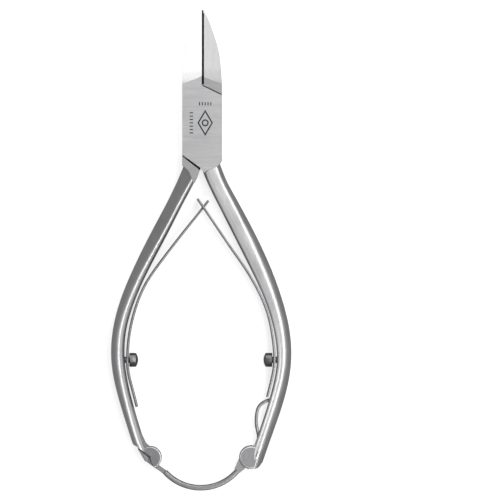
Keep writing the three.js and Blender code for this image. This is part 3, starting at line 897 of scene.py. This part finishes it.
MARK_DEPTH = 0.02 * MM
COARSE_MARKS = 3.3
HANDLING_MARKS = 120
HANDLING_TONE = 0.05


def shader_nodes(name):
    material = bpy.data.materials.new(name)
    material.use_nodes = True
    tree = material.node_tree
    return material, tree, tree.nodes["Principled BSDF"]


def noise(tree, scale, detail, rough):
    """Noise on Object coordinates; scale is the count of features to a metre along X, Y and Z."""
    place = tree.nodes.new("ShaderNodeTexCoord")
    mapping = tree.nodes.new("ShaderNodeMapping")
    mapping.inputs["Scale"].default_value = scale
    texture = tree.nodes.new("ShaderNodeTexNoise")
    texture.inputs["Scale"].default_value = 1.0
    texture.inputs["Detail"].default_value = detail
    texture.inputs["Roughness"].default_value = rough
    link(tree, place, "Object", mapping, "Vector")
    link(tree, mapping, "Vector", texture, "Vector")
    return texture.outputs["Fac"]


def spread(tree, value, low, high):
    """Maps noise, which lies mostly from 0.3 to 0.7, to the range from low to high."""
    mapping = tree.nodes.new("ShaderNodeMapRange")
    mapping.inputs["From Min"].default_value = 0.3
    mapping.inputs["From Max"].default_value = 0.7
    mapping.inputs["To Min"].default_value = low
    mapping.inputs["To Max"].default_value = high
    tree.links.new(value, mapping.inputs["Value"])
    return mapping.outputs["Result"]


def product(tree, first, second):
    node = tree.nodes.new("ShaderNodeMath")
    node.operation = "MULTIPLY"
    for source, socket in zip((first, second), node.inputs):
        tree.links.new(source, socket)
    return node.outputs["Value"]


def tinted(tree, shader, colour, tone):
    """Sets the shader's colour, scaled by the pattern tone."""
    tint = tree.nodes.new("ShaderNodeVectorMath")
    tint.operation = "SCALE"
    tint.inputs[0].default_value = tuple(colour)
    tree.links.new(tone, tint.inputs["Scale"])
    link(tree, tint, "Vector", shader, "Base Color")


def steel(name, colour, roughness, grain, contrast=0.10, relief=0.15):
    """Steel with grinding marks, made once; grain counts the marks to a metre along X, Y and Z.

    contrast is how much the marks change the colour and the roughness, and relief is the
    strength of their bump.
    """
    if name in bpy.data.materials:
        return bpy.data.materials[name]
    material, tree, shader = shader_nodes(name)
    marks = noise(tree, grain, 6.0, 0.65)
    coarse = noise(tree, tuple(g / COARSE_MARKS for g in grain), 3.0, 0.5)
    handled = noise(tree, (HANDLING_MARKS,) * 3, 3.0, 0.5)
    tone = product(
        tree, spread(tree, marks, 1 - contrast, 1 + contrast),
        spread(tree, handled, 1 - HANDLING_TONE, 1 + HANDLING_TONE),
    )
    softer = contrast * 0.7
    tinted(tree, shader, colour, product(tree, tone, spread(tree, coarse, 1 - softer, 1 + softer)))
    shine = product(
        tree, spread(tree, coarse, roughness * (1 - contrast), roughness * (1 + contrast)),
        spread(tree, handled, 0.93, 1.07),
    )
    tree.links.new(shine, shader.inputs["Roughness"])
    bump = tree.nodes.new("ShaderNodeBump")
    bump.inputs["Strength"].default_value = relief
    bump.inputs["Distance"].default_value = MARK_DEPTH
    tree.links.new(marks, bump.inputs["Height"])
    link(tree, bump, "Normal", shader, "Normal")
    shader.inputs["Metallic"].default_value = 1.0
    return material


def ground_steel():
    return steel(
        "ground steel", finish().ground_colour, finish().ground_roughness, (220, 5200, 2600),
        contrast=0.09, relief=0.25,
    )


def bevel_steel():
    return steel(
        "honed steel", finish().satin_colour, finish().ground_roughness * 0.95, (3600, 500, 2600),
        contrast=0.05, relief=0.12,
    )


def satin_steel():
    return steel(
        "satin steel", finish().satin_colour, finish().satin_roughness, (2600, 300, 2600),
        contrast=0.04, relief=0.03,
    )


def etched_steel():
    return steel(
        "etched steel", finish().etch_colour, 0.6, (4000, 4000, 4000), contrast=0.15, relief=0.3,
    )


def lobe_steel():
    return steel(
        "matt steel", (0.27, 0.27, 0.275), 0.44, (3200, 900, 2600), relief=0.2,
    )


# Painted shade: near-black steel that stands in for the shadow in the seams, at the parting line,
# on the notch's walls and under the strap's head
def seam_shade_steel():
    return steel(
        "painted seam shade", (0.028, 0.028, 0.03), 0.75, (3000, 3000, 1500), contrast=0.15, relief=0.2,
    )


def spring_steel():
    return steel(
        "spring steel", finish().spring_colour, 0.3, (1500, 900, 5200), contrast=0.09, relief=0.15,
    )


def screw_steel():
    return steel(
        "screw steel", finish().screw_colour, 0.34, (500, 4200, 4200), relief=0.2,
    )


def strap_steel():
    return steel(
        "strap steel", finish().strap_colour, 0.4, (2400, 2400, 700), contrast=0.08, relief=0.18,
    )


def pin_steel():
    return steel(
        "pin steel", finish().screw_colour, 0.3, (4200, 4200, 600), contrast=0.08, relief=0.15,
    )


# --- Finishing ---

SMALL_PIECE_ANGLE = math.radians(32)
HALF_ANGLE = math.radians(18)
BROKEN_EDGE_ANGLE = math.radians(38)


def shade(body, angle=SMALL_PIECE_ANGLE):
    """Smooth shading, except over edges sharper than the angle."""
    body.data.shade_smooth()
    body.data.set_sharp_from_angle(angle=angle)
    weigh = body.modifiers.new("even shading", "WEIGHTED_NORMAL")
    weigh.keep_sharp = True
    return body


def break_edges(body):
    """Rounds the ground edges a little."""
    bevel = body.modifiers.new("broken edges", "BEVEL")
    bevel.limit_method = "ANGLE"
    bevel.angle_limit = BROKEN_EDGE_ANGLE
    bevel.width = sizes().edge_break
    bevel.segments = 2
    bevel.miter_outer = "MITER_ARC"
    return settle(body)


# Seam lines along which painted shade is laid
SEAMS = (
    ((BOX_HALF_WIDTH, RIGHT_SEAM_Y + SEAM_GAP / 2), (0, CENTRE_SEAM_Y + SEAM_GAP / 2)),
    ((-BOX_HALF_WIDTH, LEFT_SEAM_Y - SEAM_GAP / 2), (-0.6, YOKE_Y - SEAM_GAP / 2)),
    ((STEP_WIDTH / 2, CENTRE_SEAM_Y), (STEP_WIDTH / 2, TIP_Y)),
)


# How far from a seam the painted shade reaches, in mm
SEAM_SHADE_REACH = 0.45
SEAM_EDGE_SHADE_REACH = 0.3
ETCH_TOLERANCE = 0.005 * MM
TONGUE_HALF_WIDTH = 5.5
JAW_GROUND_Y = 11
BOX_LOW_Y = -9
ROOT_LOW_Y = -16
LOBES_HIGH_Y = -86
NOTCH_HIGH_Y = -90.3
NOTCH_RIGHT_X = -14.3
# Two of these are painted shade: the near-black seam steel, and the screw steel where it is laid on
# the tongue
HALF_STEELS = (
    satin_steel, ground_steel, bevel_steel, etched_steel, seam_shade_steel, lobe_steel, screw_steel,
)
SATIN, GROUND, HONED, ETCHED, SEAM_SHADE, LOBE, TONGUE_SHADE = range(len(HALF_STEELS))


def in_seam(x, y, reach):
    """True close to one of the seams; all in mm."""
    point = Vector((x, y))
    for start, end in SEAMS:
        start = Vector(start)
        along = Vector(end) - start
        share = max(0.0, min(1.0, (point - start).dot(along) / along.length_squared))
        if (start + share * along - point).length < reach:
            return True
    return False


def zone(centre, upright):
    """Which of a half's steels a face has, from its centre in metres and its normal's Z."""
    x, y, z = centre / MM
    flat = abs(upright) > 0.995
    wall = abs(upright) < 0.3
    off_middle = abs(z - MIDDLE)
    upper = centre.z > MIDDLE * MM
    below_front = FRONT * MM - centre.z
    if upright > 0.9 and abs(below_front - sizes().etch_depth) < ETCH_TOLERANCE and abs(y) < 9:
        return ETCHED
    # Painted shade: the tongue's faces inside the box get the dark screw steel, standing in for the
    # shadow inside the box
    if off_middle < 2.0 and abs(upright) > 0.5 and -15 < y < 14 and abs(x) < TONGUE_HALF_WIDTH:
        return TONGUE_SHADE
    # Painted shade: faces at the seams, and faces sunk below the front face next to them, get the
    # near-black seam steel
    if upper and upright < 0.99 and in_seam(x, y, SEAM_EDGE_SHADE_REACH):
        return SEAM_SHADE
    sunk = (0.2 if y > 0 else 0.02) * MM
    if upper and (wall or below_front > sunk) and in_seam(x, y, SEAM_SHADE_REACH):
        return SEAM_SHADE
    if y > JAW_GROUND_Y and upright > 0.3:
        return GROUND if upright > 0.997 else HONED
    if y > BOX_LOW_Y or (flat and y > ROOT_LOW_Y and off_middle > MIDDLE - 0.03):
        return GROUND
    if y < LOBES_HIGH_Y and flat and abs(off_middle - LOBE_THICKNESS / 2) < 0.2:
        return LOBE
    # Painted shade: the walls of the notch by the left lobe get the near-black seam steel
    if y < NOTCH_HIGH_Y and x < NOTCH_RIGHT_X and wall:
        return SEAM_SHADE
    return SATIN


def paint_half(body):
    """Ground flats, honed bevels, satin handles and painted shade on one half: dark steel in the
    seams, in the notch and on the tongue.
    """
    body.data.materials.clear()
    for kind in HALF_STEELS:
        body.data.materials.append(kind())
    for face in body.data.polygons:
        face.material_index = zone(face.center, face.normal.z)


def paint_strap(body):
    """Painted shade: black seam steel on the ledge in the narrow space between the strap's head and
    the left lobe, where there is shadow.
    """
    body.data.materials.append(seam_shade_steel())
    for face in body.data.polygons:
        x, y, z = face.center / MM
        shade_ledge = -18.6 < x < HEAD_WALL_X and y > -94.3 and abs(z - MIDDLE) < 1.3
        if shade_ledge and face.normal.z > 0.9:
            face.material_index = 1
    return body


def finish_piece(body, body_name, node):
    if body_name:
        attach(body, body_name)
    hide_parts(node)


def bend_leaf(body):
    """Bakes the leaf's placement into its mesh; the leaf is not bent."""
    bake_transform(body)


# --- Stage ---

VIEW_CENTRE = Vector((13.55, -34.7, 0)) * MM
VIEW_WIDTH = 141.15 * MM
CAMERA_HEIGHT = 1.6
SENSOR_WIDTH = 36.0


def pale_floor():
    material, tree, shader = shader_nodes("pale floor")
    speckle = noise(tree, (90, 90, 90), 3.0, 0.5)
    tinted(tree, shader, finish().floor_colour, spread(tree, speckle, 0.995, 1.005))
    shader.inputs["Roughness"].default_value = 0.9
    shader.inputs["Specular IOR Level"].default_value = 0.1
    shader.inputs["Emission Color"].default_value = (1, 1, 1, 1)
    shader.inputs["Emission Strength"].default_value = FLOOR_GLOW
    return material


def soft_panel(name, place, width, height, level, aim_y, only):
    """A rectangular soft box; level is what a mirror would show of it."""
    lamp = bpy.data.lights.new(name, "AREA")
    lamp.shape = "RECTANGLE"
    lamp.size = width
    lamp.size_y = height
    lamp.energy = level * math.pi * width * height
    panel = add_object(name, lamp)
    panel.location = place
    towards = Vector((0, aim_y, 0)) - panel.location
    panel.rotation_euler = towards.to_track_quat("-Z", "X").to_euler()
    if only:
        lit = bpy.data.collections.new(name + " reach")
        lit.objects.link(bpy.data.objects[only])
        panel.light_linking.receiver_collection = lit


def studio_world():
    """A grey room that grows brighter overhead; the camera sees a pale backdrop."""
    world = bpy.data.worlds.new("studio")
    world.use_nodes = True
    tree = world.node_tree
    tree.nodes.clear()
    place = tree.nodes.new("ShaderNodeTexCoord")
    split = tree.nodes.new("ShaderNodeSeparateXYZ")
    ramp = tree.nodes.new("ShaderNodeValToRGB")
    ramp.color_ramp.interpolation = "EASE"
    first, last = ramp.color_ramp.elements
    first.position, last.position = 0.45, 1.0
    for stop, level in ((first, ROOM_HORIZON), (last, ROOM_ZENITH)):
        stop.color = (level, level, level * 1.01, 1)
    room = tree.nodes.new("ShaderNodeBackground")
    backdrop = tree.nodes.new("ShaderNodeBackground")
    backdrop.inputs["Color"].default_value = (*(BACKDROP_LEVEL,) * 3, 1)
    ray = tree.nodes.new("ShaderNodeLightPath")
    choose = tree.nodes.new("ShaderNodeMixShader")
    end = tree.nodes.new("ShaderNodeOutputWorld")
    link(tree, place, "Generated", split, "Vector")
    link(tree, split, "Z", ramp, "Fac")
    link(tree, ramp, "Color", room, "Color")
    link(tree, ray, "Is Camera Ray", choose, "Fac")
    link(tree, room, "Background", choose, 1)
    link(tree, backdrop, "Background", choose, 2)
    link(tree, choose, "Shader", end, "Surface")
    bpy.context.scene.world = world


def camera():
    lens = bpy.data.cameras.new("camera")
    lens.sensor_width = SENSOR_WIDTH
    lens.lens = SENSOR_WIDTH * CAMERA_HEIGHT / VIEW_WIDTH
    lens.clip_end = 20.0
    eye = add_object("camera", lens)
    eye.location = (VIEW_CENTRE.x, VIEW_CENTRE.y, FRONT * MM + CAMERA_HEIGHT)
    bpy.context.scene.camera = eye


# --- Operators ---

class NIPPER_OT_box_half(bpy.types.Operator):
    """Left jaw, box and right handle in one piece"""

    bl_idname = "nipper.box_half"
    bl_label = "Box Half"

    def execute(self, context):
        body = break_edges(box_half())
        etch_mark(body, etched_steel())
        paint_half(body)
        shade(body, HALF_ANGLE)
        finish_piece(body, "box_side", "box_half")
        return {"FINISHED"}


class NIPPER_OT_tongue_half(bpy.types.Operator):
    """Right jaw, tongue and left handle in one piece"""

    bl_idname = "nipper.tongue_half"
    bl_label = "Tongue Half"

    def execute(self, context):
        body = break_edges(tongue_half())
        paint_half(body)
        shade(body, HALF_ANGLE)
        finish_piece(body, "tongue_side", "tongue_half")
        return {"FINISHED"}


class NIPPER_OT_leaf_springs(bpy.types.Operator):
    """The two crossed leaf springs between the handles"""

    bl_idname = "nipper.leaf_springs"
    bl_label = "Leaf Springs"

    def execute(self, context):
        left = shade(left_leaf(spring_steel()))
        right = shade(right_leaf(spring_steel()))
        bend_leaf(left)
        bend_leaf(right)
        finish_piece(left, None, "left_spring")
        finish_piece(right, None, "right_spring")
        return {"FINISHED"}


class NIPPER_OT_spring_screws(bpy.types.Operator):
    """The slotted screws that hold the leaf springs"""

    bl_idname = "nipper.spring_screws"
    bl_label = "Spring Screws"

    def execute(self, context):
        rows = (
            ("left_spring_screw", -1, LEFT_SCREW_SEAT_X, "tongue_side"),
            ("right_spring_screw", 1, RIGHT_SCREW_SEAT_X, "box_side"),
        )
        for node, side, seat_x, body_name in rows:
            body = spring_screw(node + "_finished", side, seat_x)
            body.data.materials.clear()
            body.data.materials.append(screw_steel())
            shade(body)
            finish_piece(body, body_name, node)
        return {"FINISHED"}


class NIPPER_OT_locking_strap(bpy.types.Operator):
    """The strap that locks the handles together"""

    bl_idname = "nipper.locking_strap"
    bl_label = "Locking Strap"

    def execute(self, context):
        body = paint_strap(shade(strap(strap_steel())))
        finish_piece(body, "latch", "latch_strap")
        return {"FINISHED"}


class NIPPER_OT_latch_spring(bpy.types.Operator):
    """The small spring that holds the strap open or shut"""

    bl_idname = "nipper.latch_spring"
    bl_label = "Latch Spring"

    def execute(self, context):
        body = shade(latch_spring(spring_steel()))
        finish_piece(body, "box_side", "latch_spring")
        return {"FINISHED"}


class NIPPER_OT_pins(bpy.types.Operator):
    """Steel for the pivot pin and the strap's hinge pin"""

    bl_idname = "nipper.pins"
    bl_label = "Pins"

    def execute(self, context):
        for name in ("pivot_pin", "latch_hinge_pin"):
            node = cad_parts[name]
            if not node.material_slots:
                node.data.materials.append(pin_steel())
            for slot in node.material_slots:
                slot.material = pin_steel()
        return {"FINISHED"}


class NIPPER_OT_stage(bpy.types.Operator):
    """Pale floor, soft boxes and a camera that looks straight down"""

    bl_idname = "nipper.stage"
    bl_label = "Stage"

    def execute(self, context):
        signs = ((-1, -1), (1, -1), (1, 1), (-1, 1))
        z = CAD_BOX[0][2] - FLOOR_DROP
        corners = [(x * FLOOR_HALF_SIZE, y * FLOOR_HALF_SIZE, z) for x, y in signs]
        floor = mesh_object("floor", corners, [(0, 1, 2, 3)])
        floor.data.materials.append(pale_floor())
        floor.visible_glossy = False
        studio_world()
        for panel in PANELS:
            soft_panel(*panel)
        camera()
        context.scene.view_settings.view_transform = "Standard"
        return {"FINISHED"}


class NIPPER_PT_sidebar(bpy.types.Panel):
    bl_label = "Nail Nipper"
    bl_idname = "NIPPER_PT_sidebar"
    bl_space_type = "VIEW_3D"
    bl_region_type = "UI"
    bl_category = "Nipper"

    def draw(self, context):
        for settings in (context.scene.nipper_sizes, context.scene.nipper_finish):
            column = self.layout.column()
            for name in settings.__annotations__:
                column.prop(settings, name)
        for operator in OPERATORS:
            self.layout.operator(operator.bl_idname)


OPERATORS = (
    NIPPER_OT_box_half, NIPPER_OT_tongue_half, NIPPER_OT_leaf_springs, NIPPER_OT_spring_screws,
    NIPPER_OT_locking_strap, NIPPER_OT_latch_spring, NIPPER_OT_pins, NIPPER_OT_stage,
)
CLASSES = (NipperSizes, NipperFinish, *OPERATORS, NIPPER_PT_sidebar)


def register():
    for cls in CLASSES:
        bpy.utils.register_class(cls)
    bpy.types.Scene.nipper_sizes = bpy.props.PointerProperty(type=NipperSizes)
    bpy.types.Scene.nipper_finish = bpy.props.PointerProperty(type=NipperFinish)


def unregister():
    del bpy.types.Scene.nipper_finish
    del bpy.types.Scene.nipper_sizes
    for cls in reversed(CLASSES):
        bpy.utils.unregister_class(cls)


def main():
    register()
    for operator in OPERATORS:
        group, name = operator.bl_idname.split(".")
        getattr(getattr(bpy.ops, group), name)()


if __name__ == "__main__":
    main()
